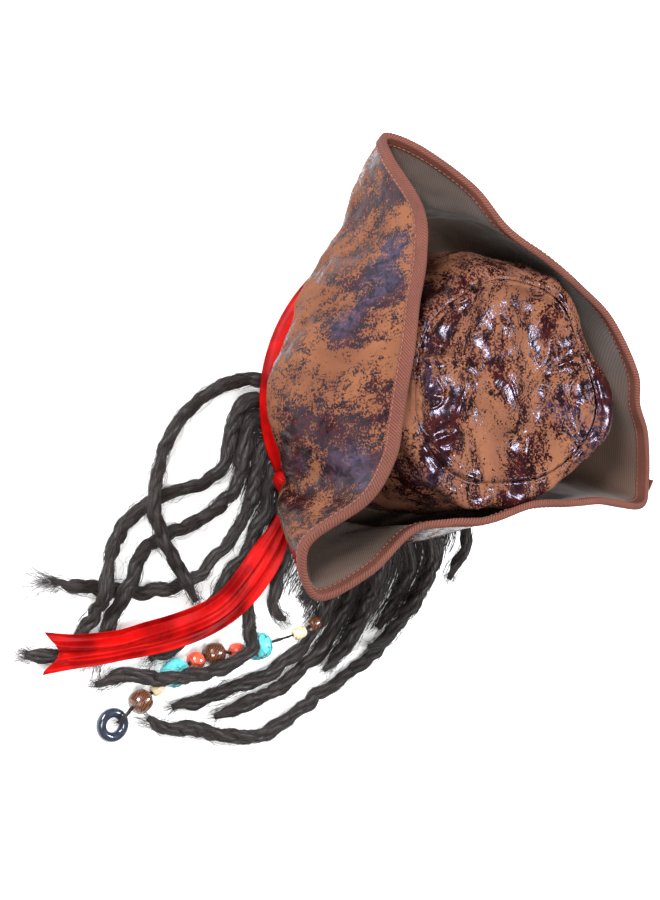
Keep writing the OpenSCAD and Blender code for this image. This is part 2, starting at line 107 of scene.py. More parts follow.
class Shader:
    """One procedural material and short ways to add its nodes."""

    def __init__(self, name):
        self.material = bpy.data.materials.new(name)
        self.material.use_nodes = True
        self.tree = self.material.node_tree
        self.surface = self.tree.nodes["Principled BSDF"]

    def put(self, socket, value):
        if isinstance(value, bpy.types.NodeSocket):
            self.tree.links.new(value, socket)
        elif isinstance(value, tuple) and len(value) == 3 and socket.type == "RGBA":
            socket.default_value = (*value, 1)
        else:
            socket.default_value = value

    def add(self, kind, settings=(), **inputs):
        node = self.tree.nodes.new("ShaderNode" + kind)
        for key, value in dict(settings).items():
            setattr(node, key, value)
        for key, value in inputs.items():
            self.put(node.inputs[key.replace("_", " ")], value)
        return node

    def place(self, scale=(1, 1, 1), turn=(0, 0, 0)):
        """Where a point is on the piece, in metres; patterns come out turned, then longer by scale."""
        coordinates = self.add("TexCoord").outputs["Object"]
        return self.add("Mapping", {"vector_type": "TEXTURE"}, Vector=coordinates, Scale=scale,
                        Rotation=turn).outputs[0]

    def noise(self, where, scale, detail=4, roughness=0.5, distortion=0.0):
        return self.add("TexNoise", Vector=where, Scale=scale, Detail=detail, Roughness=roughness,
                        Distortion=distortion).outputs["Fac"]

    def wave(self, where, scale, distortion):
        return self.add("TexWave", {"wave_profile": "SIN"}, Vector=where, Scale=scale,
                        Distortion=distortion).outputs["Fac"]

    def cells(self, where, scale):
        """How far a point is from the nearest border between two cells."""
        return self.add("TexVoronoi", {"feature": "DISTANCE_TO_EDGE"}, Vector=where,
                        Scale=scale).outputs["Distance"]

    def shake(self, where, scale, amount):
        """The same place, pushed about by noise."""
        push = self.add("TexNoise", Vector=where, Scale=scale, Detail=3).outputs["Color"]
        moved = self.add("VectorMath", {"operation": "SCALE"}, Vector=push, Scale=amount).outputs[0]
        both = self.add("VectorMath", {"operation": "ADD"})
        self.put(both.inputs[0], where)
        self.put(both.inputs[1], moved)
        return both.outputs[0]

    def calc(self, operation, a, b=0.0):
        node = self.add("Math", {"operation": operation})
        self.put(node.inputs[0], a)
        self.put(node.inputs[1], b)
        return node.outputs[0]

    def weigh(self, *terms):
        """The sum of values, each times its weight."""
        parts = [self.calc("MULTIPLY", value, weight) for value, weight in terms]
        total = parts[0]
        for part in parts[1:]:
            total = self.calc("ADD", total, part)
        return total

    def step(self, value, low, high, to_low=0.0, to_high=1.0):
        return self.add("MapRange", {"interpolation_type": "SMOOTHSTEP"}, Value=value, From_Min=low,
                        From_Max=high, To_Min=to_low, To_Max=to_high).outputs[0]

    def mix(self, share, a, b):
        node = self.add("Mix", {"data_type": "RGBA"})
        for socket, value in zip((node.inputs[0], node.inputs[6], node.inputs[7]), (share, a, b)):
            self.put(socket, value)
        return node.outputs[2]

    def bump(self, height, distance, strength=1.0, under=None):
        node = self.add("Bump", Height=height, Distance=distance, Strength=strength)
        if under is not None:
            self.put(node.inputs["Normal"], under)
        return node.outputs[0]

    def finish(self, **inputs):
        for key, value in inputs.items():
            self.put(self.surface.inputs[key.replace("_", " ")], value)
        return self.material


def leather_material(name, wear, streak, turn, painted_sheen_from, gloss):
    """Suede-like tan cloth under a glossy dark film that has cracked off in flakes."""
    m = Shader(name)
    where = m.place(streak, turn)
    patches = m.noise(where, 26, 3, 0.6, 0.6)
    blots = m.noise(where, 150, 7, 0.78, 0.4)
    specks = m.noise(m.place(), 620, 4, 0.7)
    cover = m.weigh((patches, 0.56), (blots, 0.44), (m.step(specks, 0.30, 0.70, -0.5, 0.5), 0.15))
    film = m.step(cover, wear - 0.004, wear + 0.004)
    nap = m.noise(m.place(), 1500, 3, 0.6)
    suede = m.mix(nap, (0.125, 0.046, 0.020), (0.250, 0.099, 0.044))
    suede = m.mix(m.step(m.noise(where, 40, 3), 0.35, 0.7), suede, (0.135, 0.050, 0.023))
    # Painted sheen: in patches the film's colour turns violet, standing for its reflection of cool light.
    painted_sheen = m.step(m.noise(m.place(), 19, 2, 0.4), painted_sheen_from, painted_sheen_from + 0.16)
    glaze_and_sheen = m.mix(painted_sheen, (0.030, 0.0045, 0.004), (0.034, 0.022, 0.046))
    glaze_and_sheen = m.mix(m.step(blots, 0.44, 0.60), glaze_and_sheen, (0.006, 0.002, 0.0025))
    crinkle = m.noise(m.place(), 420, 4, 0.6)
    dents = m.noise(m.place((1, 1, 1.6)), 46, 3, 0.5, 0.8)
    grain = m.bump(crinkle, 0.0004, 0.5, m.bump(dents, 0.005, 0.4))
    raised = m.bump(film, 0.0004, 0.6, grain)
    roughness = m.step(film, 0.0, 1.0, 0.92, 0.17)
    return m.finish(Base_Color=m.mix(film, suede, glaze_and_sheen), Roughness=roughness, Normal=raised,
                    Specular_IOR_Level=gloss, Specular_Tint=(0.74, 0.72, 1.0))


def cloth_material(name, dark, light, pitch=0.0013, roughness=0.9):
    """Twill: fine diagonal ribs a pitch apart, in metres, uneven dye and a little fuzz."""
    m = Shader(name)
    bias = (0.6, 0.5, 0.8)
    ribs = m.wave(m.place(turn=bias), 0.32 / pitch, 0.4)
    threads = m.noise(m.place((1, 0.33, 1), bias), 1500, 3, 0.6)
    dye = m.noise(m.place(), 30, 5, 0.6)
    # Painted light and shade: ribs and threads make the colour lighter where their bump raises the cloth and
    # darker between; the dye noise varies at random.
    tone = m.weigh((ribs, 0.35), (dye, 0.5), (threads, 0.3))
    return m.finish(Base_Color=m.mix(tone, dark, light), Roughness=roughness, Sheen_Weight=0.15,
                    Normal=m.bump(m.weigh((ribs, 1), (threads, 0.6)), 0.00025, 0.7))


def tape_material():
    """Ribbed tape: the tone attribute is 1 on a rib and 0 between two, giving painted light on the ribs and
    painted shade between them.
    """
    m = Shader("binding_tape")
    rib = m.add("Attribute", {"attribute_name": "tone"}).outputs["Fac"]
    threads = m.noise(m.place(), 1700, 3, 0.6)
    dye = m.noise(m.place(), 45, 4, 0.6)
    share = m.calc("MULTIPLY", m.weigh((rib, 0.72), (threads, 0.34)), m.step(dye, 0.2, 0.8, 0.75, 1.15))
    return m.finish(Base_Color=m.mix(share, (0.024, 0.0065, 0.0045), (0.180, 0.050, 0.028)), Roughness=0.9,
                    Normal=m.bump(threads, 0.0003, 0.6))


def satin_material():
    m = Shader("red_satin")
    where = m.place()
    threads = m.noise(m.place((1, 1, 0.4)), 1800, 3)
    soft = m.noise(where, 38, 4, 0.55)
    colour = m.mix(m.step(soft, 0.3, 0.7), (0.15, 0.0005, 0.0011), (0.43, 0.0030, 0.0020))
    normal = m.bump(threads, 0.00004, 0.3, m.bump(m.noise(where, 45, 2, 0.5), 0.002, 0.4))
    return m.finish(Base_Color=colour, Roughness=m.step(soft, 0.3, 0.7, 0.40, 0.52), Normal=normal,
                    Specular_IOR_Level=0.2, Specular_Tint=(1.0, 0.35, 0.35))


def hair_material():
    m = Shader("hair")
    tone = m.add("Attribute", {"attribute_name": "tone"}).outputs["Fac"]
    dust = m.noise(m.place(), 120, 4, 0.6)
    colour = m.mix(m.weigh((tone, 0.75), (dust, 0.3)), (0.004, 0.0032, 0.003), (0.064, 0.050, 0.046))
    threads = m.noise(m.place(), 1400, 4, 0.65)
    return m.finish(Base_Color=colour, Roughness=m.step(dust, 0.3, 0.7, 0.42, 0.6),
                    Normal=m.bump(threads, 0.0003, 0.5), Specular_IOR_Level=0.3)


def bead_material(name, base, second, vein, vein_width, scale, roughness, coat):
    m = Shader(name)
    where = m.shake(m.place(), 260, 0.004)
    cloud = m.noise(where, scale * 1.4, 4, 0.6)
    veins = m.step(m.cells(where, scale), 0.0, vein_width, 1.0, 0.0)
    broken = m.calc("MULTIPLY", veins, m.step(m.noise(where, scale * 0.7, 3), 0.38, 0.58))
    colour = m.mix(broken, m.mix(m.step(cloud, 0.3, 0.7), base, second), vein)
    pits = m.noise(m.place(), 900, 4, 0.6)
    return m.finish(Base_Color=colour, Roughness=m.step(pits, 0.3, 0.7, roughness, roughness + 0.15),
                    Normal=m.bump(pits, 0.0002, 0.35), Coat_Weight=coat)


def wood_material():
    m = Shader("wood_bead")
    rings = m.wave(m.place((1, 0.4, 1), (0.4, 0.7, 0.2)), 190, 5.0)
    pores = m.noise(m.place((1, 0.2, 1), (0.4, 0.7, 0.2)), 600, 4)
    colour = m.mix(m.calc("MULTIPLY", rings, pores), (0.045, 0.014, 0.007), (0.24, 0.085, 0.035))
    return m.finish(Base_Color=colour, Roughness=m.step(pores, 0.3, 0.7, 0.16, 0.3),
                    Normal=m.bump(pores, 0.0002, 0.3), Coat_Weight=0.6)


def ring_material():
    m = Shader("ring_gloss")
    haze = m.noise(m.place(), 240, 5, 0.6)
    colour = m.mix(haze, (0.008, 0.009, 0.014), (0.035, 0.045, 0.075))
    return m.finish(Base_Color=colour, Roughness=m.step(haze, 0.3, 0.7, 0.1, 0.26),
                    Normal=m.bump(haze, 0.0003, 0.25), Coat_Weight=0.5)


LEATHER = leather_material("distressed_leather", 0.479, (1, 1, 1.6), (0.3, 0.2, 0.5), 0.49, 0.2)
CROWN_LEATHER = leather_material("crown_leather", 0.499, (1.8, 1, 1), (0, 0, -0.88), 0.54, 0.32)
# Painted shade and painted light: the lining's dark colour is the twill in shade, its light colour the twill
# in light.
LINING = cloth_material("lining_twill", (0.036, 0.021, 0.015), (0.140, 0.084, 0.058))
TAPE = tape_material()
THREAD = cloth_material("stitch_thread", (0.16, 0.05, 0.03), (0.34, 0.13, 0.08), 0.0004)
BOARD = cloth_material("stiffener", (0.10, 0.085, 0.07), (0.22, 0.19, 0.16), 0.002, roughness=0.8)
SWEAT = leather_material("sweatband_leather", 0.9, (1, 1, 1), (0, 0, 0), 0.6, 0.3)
SATIN = satin_material()
HAIR = hair_material()
TURQUOISE = bead_material("turquoise_bead", (0.05, 0.42, 0.45), (0.16, 0.60, 0.58),
                          (0.02, 0.05, 0.04), 0.08, 160, 0.16, 0.5)
CORAL = bead_material("coral_bead", (0.58, 0.045, 0.02), (0.78, 0.12, 0.06),
                      (0.35, 0.02, 0.01), 0.05, 210, 0.14, 0.5)
BONE = bead_material("bone_bead", (0.66, 0.50, 0.28), (0.83, 0.72, 0.50),
                     (0.22, 0.12, 0.05), 0.06, 240, 0.32, 0.2)
WOOD = wood_material()
RING = ring_material()


# ---- mesh helpers ----


def unit(v):
    return v / np.maximum(np.linalg.norm(v, axis=-1, keepdims=True), 1e-12)


def ease(x):
    """From 0 to 1 along an S-shaped curve."""
    x = np.clip(x, 0, 1)
    return x * x * (3 - 2 * x)


def hump(x, at, width):
    return np.exp(-(((x - at) / width) ** 2))


def turns(columns):
    """Angles evenly round a circle, one to a row."""
    return (np.arange(columns) * TURN / columns)[:, None]


def toward(angle, degrees):
    """1 in that direction, falling to 0 at right angles to it."""
    return np.maximum(0, np.cos(angle - math.radians(degrees)))


def read_off(values, run, at):
    """Points known at distances run along a line, read off at other distances."""
    return np.stack([np.interp(at, run, values[:, k]) for k in range(3)], -1)


def surface_normals(grid):
    """Normals of a grid of points: first index all the way round, second across."""
    along = np.roll(grid, -1, axis=0) - np.roll(grid, 1, axis=0)
    return unit(np.cross(along, np.gradient(grid, axis=1)))


def piece(name, points, faces, material, tone=None):
    """A smooth mesh from points in millimetres and arrays of faces."""
    mesh = bpy.data.meshes.new(name)
    listed = [face for group in faces for face in np.asarray(group).tolist()]
    mesh.from_pydata((np.asarray(points).reshape(-1, 3) * MM).tolist(), [], listed)
    mesh.polygons.foreach_set("use_smooth", np.ones(len(listed), bool))
    if tone is not None:
        mesh.attributes.new("tone", "FLOAT", "POINT").data.foreach_set(
            "value", np.asarray(tone, np.float32).ravel())
    mesh.update()
    made = bpy.data.objects.new(name, mesh)
    bpy.context.scene.collection.objects.link(made)
    made.data.materials.append(material)
    return made


def keep(made, node):
    """The piece takes a CAD node's place and stays with the hat."""
    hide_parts(node)
    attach(made, "root")


def grid_faces(rows, columns, closed_rows=True, closed_columns=False, start=0, flip=False):
    """Quads of a grid whose points run through its columns first."""
    index = start + np.arange(rows * columns).reshape(rows, columns)
    if closed_rows:
        index = np.concatenate([index, index[:1]])
    if closed_columns:
        index = np.concatenate([index, index[:, :1]], axis=1)
    a, b, c, d = index[:-1, :-1], index[1:, :-1], index[1:, 1:], index[:-1, 1:]
    order = (a, d, c, b) if flip else (a, b, c, d)
    return np.stack(order, -1).reshape(-1, 4)


def shell(name, outer, inner, material, closed=True, tone=None):
    """Closed sheet between two grids: first index round the piece, second across it."""
    rows, columns = outer.shape[:2]
    section = np.concatenate([outer, inner[:, ::-1]], axis=1)
    faces = [grid_faces(rows, 2 * columns, closed, True)]
    if not closed:
        last = (rows - 1) * 2 * columns
        ends = np.arange(columns - 1)
        first = np.stack([ends, ends + 1, 2 * columns - 2 - ends, 2 * columns - 1 - ends], -1)
        faces += [first, last + first[:, ::-1]]
    return piece(name, section, faces, material, tone)


def tubes(centres, radii, side, up, sides):
    """Points and faces of many tubes: centres and the two axes across them are (tubes, stations, 3)."""
    count, stations = centres.shape[:2]
    angle = np.arange(sides) * TURN / sides
    ring = (np.cos(angle)[:, None] * side[..., None, :] + np.sin(angle)[:, None] * up[..., None, :])
    points = centres[:, :, None] + radii[..., None, None] * ring
    index = np.arange(count * stations * sides).reshape(count, stations, sides)
    after = np.roll(index, -1, axis=2)
    walls = np.stack([index[:, :-1], after[:, :-1], after[:, 1:], index[:, 1:]], -1).reshape(-1, 4)
    return points, [walls, index[:, 0, ::-1], index[:, -1]]


def through(points, u, closed=False):
    """Smooth curve through points, at parameters u counted in points."""
    p = np.asarray(points, float)
    m = len(p)
    if closed:
        k = np.floor(u).astype(int)
        a, b, c, d = (p[(k + j) % m] for j in (-1, 0, 1, 2))
    else:
        k = np.clip(np.floor(u).astype(int), 0, m - 2)
        p = np.concatenate([[2 * p[0] - p[1]], p, [2 * p[-1] - p[-2]]])
        a, b, c, d = (p[k + 1 + j] for j in (-1, 0, 1, 2))
    t = (u - k)[:, None]
    return 0.5 * (2 * b + (c - a) * t + (2 * a - 5 * b + 4 * c - d) * t * t + (3 * b - a - 3 * c + d) * t**3)


def spaced(points, step=None, count=None):
    """The smooth curve through points, at even distances."""
    fine = through(points, np.linspace(0, len(points) - 1, 24 * len(points)))
    run = np.concatenate([[0], np.cumsum(np.linalg.norm(np.diff(fine, axis=0), axis=1))])
    count = count or max(int(run[-1] / step) + 1, 4)
    at = np.linspace(0, run[-1], count)
    return read_off(fine, run, at), at


def across(line):
    """Level and upright axes across a line that is nowhere vertical."""
    along = unit(np.gradient(line, axis=0))
    side = unit(np.cross([0, 0, 1.0], along))
    return side, np.cross(along, side)


def ripples(points, size, seed, octaves=3):
    """Soft bumps of about that size, from about -1 to 1."""
    rng = np.random.default_rng(seed)
    total, weight = np.zeros(points.shape[:-1]), 1.0
    for _ in range(octaves):
        waves = unit(rng.normal(size=(6, 3))) * rng.uniform(0.7, 1.3, (6, 1)) * TURN / size
        total += weight * np.sin(points @ waves.T + rng.uniform(0, TURN, 6)).mean(-1) * 1.9
        size, weight = size / 2.1, weight * 0.5
    return total


def bezier(points, s):
    """Cubic curve from its four control values."""
    a, b, c, d = points
    return (1 - s) ** 3 * a + 3 * (1 - s) ** 2 * s * b + 3 * (1 - s) * s * s * c + s**3 * d


# ---- the hat's own sizes ----

HEAD_Y, HEAD_X = 96, 82
BAND_H, SWEAT_H, SWEAT_LOW = 46, 32, 1.5
WEFT_OUT = 5.1
BRIM_IN, BRIM_Z = 4.5, 48
LEATHER_IN, LEATHER_OUT, LINING_OUT, FOAM_HALF = 0.75, 1.75, 1.55, 0.68
CROWN_H, TIP_Y, TIP_X, TIP_DENT = 158, 75, 71, 9
EDGE = [
    [60, 97, 168], [70, 110, 168], [77, 138, 163], [80, 180, 136], [90, 195, 133],
    [95, 160, 145], [101, 118, 142], [112, 101, 150], [127, 93, 160], [150, 86, 165],
    [170, 103, 165], [181, 122, 163], [191, 164, 150], [198, 167, 143], [209, 146, 151],
    [217, 126, 159], [228, 117, 165], [250, 102, 166], [270, 92, 166], [292, 91, 167],
    [314, 105, 163], [323, 135, 152], [330, 167, 126], [335, 182, 111], [341, 171, 134],
    [346, 137, 162], [355, 112, 167], [10, 96, 168], [28, 88, 170], [45, 90, 170]]


def oval_r(angle, grow, half_y=HEAD_Y, half_x=HEAD_X):
    """How far out an oval lies, by default one that is grow larger than the head opening."""
    y, x = half_y + grow, half_x + grow
    return x * y / np.sqrt((x * np.sin(angle)) ** 2 + (y * np.cos(angle)) ** 2)


def tip_r(angle):
    """The tip's outline: an oval that leans out over the wearer's right front."""
    waves = sum(share * toward(angle, at) ** sharpness
                for at, sharpness, share in ((204, 6, 0.18), (48, 4, 0.06), (112, 8, -0.07)))
    return oval_r(angle, 0, TIP_Y, TIP_X) * (1 + waves)


def polar(angle, r, z):
    angle, r, z = np.broadcast_arrays(angle, r, z)
    return np.stack([r * np.cos(angle), r * np.sin(angle), z], -1)


def oval_at(degrees, grow, z):
    angle = math.radians(degrees)
    return polar(angle, oval_r(angle, grow), z).tolist()


# ---- hair ----

# The height of a resting lock's middle and the radius of its hair
LOCK_Z = 6.3
HAIR_R = 5.1
# Where the locks leave the weft, in degrees, and their routes: a point with no height is on the table
LOCK_ROOTS = [43, 51, 59, 70, 78, 86, 94, 108, 117, 126, 135, 145, 155]
LOCK_PATHS = [
    [[88, 82], [96, 96], [101, 112], [103, 130], [101, 147], [98, 163, 9], [94, 178, 16],
     [87, 192, 19.9], [78, 201, 19.9], [68, 207, 19.9], [56, 212, 19.9], [44, 215, 19.5],
     [31, 218, 19.5], [20, 220, 19.5], [11, 221, 18]],
    [[73, 88], [71, 105], [60, 122], [55, 139], [59, 155], [70, 171], [79, 187], [84, 206],
     [85, 226, 8], [80, 245, 16], [70, 264, 20.5], [63, 278, 10], [57, 294], [58, 311], [68, 323],
     [82, 331]],
    [[59, 98], [51, 113], [42, 127], [37, 143], [38, 161], [46, 182], [57, 203], [63, 222, 10],
     [62, 241, 19], [56, 257, 19.7], [48, 271, 8], [40, 284], [34, 297]],
    [[42, 103], [33, 115], [25, 129], [19, 144], [15, 160], [13, 178], [14, 197], [19, 214], [29, 229],
     [42, 242], [54, 252], [66, 261], [77, 269], [88, 276], [99, 282]],
    [[21, 109], [15, 119], [8, 131], [3, 145], [-1, 160], [-4, 178], [-4, 196], [-6, 214], [-7, 232],
     [-5, 250], [0, 262], [4, 272]],
    [[4, 112], [-3, 123], [-9, 135], [-14, 149], [-18, 164], [-22, 179], [-30, 194, 7], [-38, 206, 14],
     [-44, 219, 23], [-43, 233, 24], [-36, 246, 24], [-26, 257, 26], [-16, 268, 28.5], [-7, 278, 25],
     [3, 285, 16], [12, 293, 8], [18, 303], [24, 313]],
    [[-11, 112], [-18, 122], [-26, 134], [-31, 149], [-36, 163], [-43, 175], [-53, 182], [-63, 181]],
    [[-36, 106], [-46, 118], [-56, 131], [-62, 146], [-65, 160]],
    [[-52, 99], [-64, 112], [-75, 128], [-83, 146], [-88, 165], [-88, 185], [-83, 205], [-76, 224],
     [-65, 243], [-54, 259], [-43, 274], [-35, 286]],
    [[-67, 89], [-80, 101], [-91, 118], [-98, 138], [-102, 160], [-103, 180], [-99, 200], [-93, 220],
     [-85, 238], [-76, 254], [-66, 269]],
    [[-79, 76], [-94, 87], [-106, 103], [-113, 122], [-117, 142], [-119, 160], [-118, 176]],
    [[-89, 60], [-106, 67], [-120, 79], [-127, 97], [-130, 116], [-131, 132]],
    [[-98, 42], [-117, 44], [-133, 53], [-141, 71], [-143, 93], [-144, 115], [-144, 135], [-140, 155],
     [-134, 175], [-127, 196], [-120, 217], [-113, 238], [-104, 257], [-90, 270], [-72, 280],
     [-54, 290], [-38, 300], [-23, 305]]]
UPPER_ROOTS = [129, 149, 163]
UPPER_PATHS = [
    [[-84, 91, 19.5], [-97, 112, 18.5], [-105, 134, 18], [-109, 156, 18], [-111, 174, 18],
     [-107, 190, 19.2]],
    [[-110, 57, 19.5], [-124, 64, 19.5], [-134, 80, 18.5], [-136, 100, 18], [-137, 122, 18],
     [-136, 140, 17], [-130, 151, 13]],
    [[-113, 33, 19.5], [-127, 27, 19], [-138, 31, 18.5], [-144, 42, 18.5], [-147, 54, 18.5],
     [-148, 66, 18.5]]]
ROUTES = [[oval_at(root, WEFT_OUT + d, LOCK_Z) for d in (0.6, 5)] + [[*point, LOCK_Z][:3] for point in path]
          for root, path in zip(LOCK_ROOTS, LOCK_PATHS)]
ROUTES += [[oval_at(root, WEFT_OUT + 16, 19.5)] + path for root, path in zip(UPPER_ROOTS, UPPER_PATHS)]
FLOOR_CLEAR = 0.25


def phases(rng, count):
    """Where in its turn each of many hairs starts."""
    return rng.uniform(0, TURN, (count, 1))


def thicket(centres, radii, line_side, line_up, tone):
    """Three-sided fibres that keep off the floor."""
    centres[..., 2] = np.maximum(centres[..., 2], radii + FLOOR_CLEAR)
    points, faces = tubes(centres, radii, line_side, line_up, 3)
    return points.reshape(-1, 3), faces, np.repeat(tone, centres.shape[1] * 3)


def joined(parts):
    """Several (points, faces, tone) as one."""
    points, faces, tones, start = [], [], [], 0
    for part_points, part_faces, part_tone in parts:
        points.append(part_points)
        faces += [group + start for group in part_faces]
        tones.append(part_tone)
        start += len(part_points)
    return np.concatenate(points), faces, np.concatenate(tones)


def loose_hairs(line, run, side, up, radius, rng, per_mm, wisps, wisp_length):
    """Hairs that stand off a lock, and the wisps that its frayed end lets go."""
    parts, length = [], run[-1]
    count, stations = max(int(length * per_mm), 4), 14
    start = rng.uniform(0, 0.93, (count, 1)) * length
    span = rng.uniform(10, 34, (count, 1))
    t = np.linspace(0, 1, stations)
    at = np.clip(start + span * t, 0, length + 4)
    arch = radius * 0.8 + rng.uniform(0.8, 1.0, (count, 1)) * np.sin(math.pi * t) * rng.gamma(
        2.0, radius * 0.22, (count, 1))
    angle = phases(rng, count) + rng.normal(0, 1.1, (count, 1)) * t
    middle, sides, ups = (read_off(values, run, at) for values in (line, side, up))
    swing = np.cos(angle)[..., None] * sides + np.sin(angle)[..., None] * ups
    centres = middle + arch[..., None] * swing
    thin = np.tile(rng.uniform(0.10, 0.17, (count, 1)), (1, stations))
    parts.append(thicket(centres, thin, sides, ups, rng.uniform(0.2, 0.9, count)))
    along = unit(line[-1] - line[-4])
    origin = line[-1] - rng.uniform(0, 9, wisps)[:, None] * along
    spread = rng.normal(0, radius * 0.38, (wisps, 2))
    origin = origin + spread[:, :1] * side[-1] + spread[:, 1:] * up[-1]
    reach = rng.uniform(0.35, 1.0, wisps) * wisp_length
    lean = rng.normal(0, 0.34, (wisps, 2)) + spread * 0.06
    curl = rng.normal(0, 0.55, (wisps, 2))
    far = t[None, :] * reach[:, None]
    sway = lean[:, None] * far[..., None] + curl[:, None] * (far**2 / wisp_length)[..., None]
    wave = 0.7 * np.sin(far / 2.6 + phases(rng, wisps))
    centres = (origin[:, None] + far[..., None] * along + (sway[..., :1] + wave[..., None]) * side[-1]
               + sway[..., 1:] * up[-1] * 0.5)
    thin = rng.uniform(0.11, 0.2, wisps)[:, None] * np.linspace(1, 0.5, stations)
    axes = [np.tile(axis, (wisps, stations, 1)) for axis in (side[-1], up[-1])]
    parts.append(thicket(centres, thin, *axes, rng.uniform(0.1, 0.8, wisps)))
    return joined(parts)


def rope_of_hair(line, run, side, up, radius, rng, plies=3, fibres=34, pitch=(52, 80)):
    """Loosely twisted plies, each a bundle of fibres with more fibres lying on it."""
    length, stations = run[-1], len(line)
    taper = 0.45 + 0.55 * ease((length - run) / (3.2 * radius))
    taper *= 0.72 + 0.28 * ease(run / (2 * radius))
    lumps = 1 + 0.15 * ripples(line, 5 * radius, rng.integers(1e6), 2)
    turn = TURN * run / rng.uniform(*pitch) + 1.1 * ripples(line, 70, rng.integers(1e6), 1)
    size = radius * taper * lumps
    parts, sides = [], 12
    around = np.arange(sides) * TURN / sides
    axes = [np.broadcast_to(axis, (1, stations, 3)) for axis in (side, up)]
    for ply in range(plies):
        phase = turn + ply * TURN / plies
        sway = np.cos(phase)[:, None] * side + np.sin(phase)[:, None] * up
        centre = line + (0.42 * size)[:, None] * sway
        r = 0.54 * size
        points, faces = tubes(centre[None], r[None], *axes, sides)
        ridge = 1 + 0.10 * np.sin(4 * around[None] + 2.6 * phase[:, None] + ply)
        points = centre[:, None] + (points[0] - centre[:, None]) * ridge[..., None]
        parts.append((points.reshape(-1, 3), faces, np.full(stations * sides, 0.18)))
        drift = phases(rng, fibres) - 1.3 * phase
        drift = drift + rng.uniform(0.3, 1.2, (fibres, 1)) * np.sin(
            run / rng.uniform(9, 22, (fibres, 1)) + phases(rng, fibres))
        lift = r * (1.0 + 0.13 * np.sin(run / rng.uniform(4, 11, (fibres, 1)) + phases(rng, fibres)))
        centres = centre + lift[..., None] * (np.cos(drift)[..., None] * side + np.sin(drift)[..., None] * up)
        thick = np.tile(rng.uniform(0.030, 0.062, (fibres, 1)) * radius, (1, stations))
        parts.append(thicket(centres, thick, *[np.broadcast_to(a, centres.shape) for a in axes],
                             rng.beta(1.6, 2.2, fibres)))
    points, faces, tone = joined(parts)
    points[:, 2] = np.maximum(points[:, 2], FLOOR_CLEAR)
    return points, faces, tone


def hair_piece(name, strands):
    points, faces, tone = strands
    return piece(name, points, faces, HAIR, tone)


def make_cord(made, node, others):
    """The hair stands for a CAD cord that follows the route."""
    keep(made, node)
    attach(others[0], "root")


def make_dreadlock(number, route):
    """One lock, which wanders a little about its route, and its loose hairs."""
    rng = np.random.default_rng(100 + number)
    name = f"dreadlock_{number:02d}"
    line, run = spaced(route, 1.8)
    shake = np.stack([ripples(line, 26, number * 3 + k, 2) for k in range(3)], -1)
    line = line + 1.25 * shake * ease(run / 20)[:, None]
    line[:, 2] = np.maximum(line[:, 2], LOCK_Z - 0.4)
    side, up = across(line)
    lock = hair_piece(f"{name}_hair", rope_of_hair(line, run, side, up, HAIR_R, rng))
    wisps = hair_piece(f"{name}_wisps", loose_hairs(line, run, side, up, HAIR_R, rng, 0.85,
                                                    WISPS.get(number, 46), WISP_LENGTH.get(number, 13)))
    make_cord(lock, name, [wisps])


def make_fringe():
    """Loose hair that lies tangled between neighbouring locks, near the hat."""
    rng = np.random.default_rng(31)
    stations = 34
    t = np.linspace(0, 1, stations)
    parts = []
    for first, second, count, reach in FRINGE:
        lines = [spaced(ROUTES[k - 1], 1.5) for k in (first, second)]
        share = rng.uniform(-0.05, 1.05, (count, 1)) + 0.16 * np.sin(
            rng.uniform(1.5, 5, (count, 1)) * t + phases(rng, count))
        length = reach * rng.uniform(0.45, 1.0, (count, 1))
        at = 2 + length * t
        one, two = (read_off(line, run, at) for line, run in lines)
        centres = one + share[..., None] * (two - one)
        wave = np.sin(at / rng.uniform(3, 7, (count, 1)) + phases(rng, count))
        along = unit(np.gradient(centres, axis=1))
        side = unit(np.cross([0, 0, 1.0], along))
        up = np.cross(along, side)
        centres = centres + (0.7 * wave)[..., None] * side
        sink = rng.uniform(1.0, 7.5, (count, 1)) * (1 - 0.7 * t**2)
        centres[..., 2] = sink + 0.8 * np.cos(at / 6 + phases(rng, count))
        radii = rng.uniform(0.28, 0.55, (count, 1)) * (1 - 0.5 * t**3)
        parts.append(thicket(centres, radii, side, up, rng.beta(1.6, 2.2, count)))
    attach(hair_piece("hair_fringe_strands", joined(parts)), "root")


# Two neighbouring locks, how many hairs lie between them, and how far the longest reach
FRINGE = [(2, 3, 70, 60), (3, 4, 80, 62), (4, 5, 80, 60), (5, 6, 80, 60), (6, 7, 60, 75), (7, 8, 90, 80),
          (8, 9, 170, 105), (9, 10, 170, 120), (10, 11, 170, 120), (11, 12, 150, 110), (12, 13, 150, 130),
          (13, 16, 120, 60)]
make_fringe()

# How many hairs the frayed end of a lock lets go, and how long they are, where that isn't the usual
WISPS = {2: 90, 4: 110, 3: 70, 10: 60}
WISP_LENGTH = {2: 14, 4: 34, 3: 22, 13: 20, 5: 20, 9: 18}
for lock_number, lock_route in enumerate(ROUTES, 1):
    make_dreadlock(lock_number, lock_route)

# The thin lock that carries the beads and ends in the ring
STRAND_R = 1.2
STRAND_LEAD = [[-21, 111, 12], [-30, 121, 15.2], [-42, 132, 15.2], [-56, 143, 15.2], [-68, 151, 15.5],
               [-77, 159, 17]]
BEADS = np.array([[-77, 171, 19], [-72, 184, 18.5], [-56, 211, 10.5], [-46, 225, 9.2], [-32, 238, 8.7],
                  [-24, 251, 8.7], [-16, 268, 10.3], [-13, 284.5, 9.6], [-9, 299.5, 9.4]])
BEAD_HALVES = [4.5, 5, 9, 5.2, 7.6, 5.2, 9, 5, 7.6]
RING_NEAR = np.array([-6, 315.4, 3.9])
BEAD_FINISH = [WOOD, BONE, TURQUOISE, CORAL, WOOD, CORAL, TURQUOISE, BONE, WOOD]


def finish_node(name, material):
    """The CAD's own mesh, smooth and in a material."""
    node = NODES[name]
    node.data.materials.clear()
    node.data.materials.append(material)
    node.data.polygons.foreach_set("use_smooth", np.ones(len(node.data.polygons), bool))
    return node


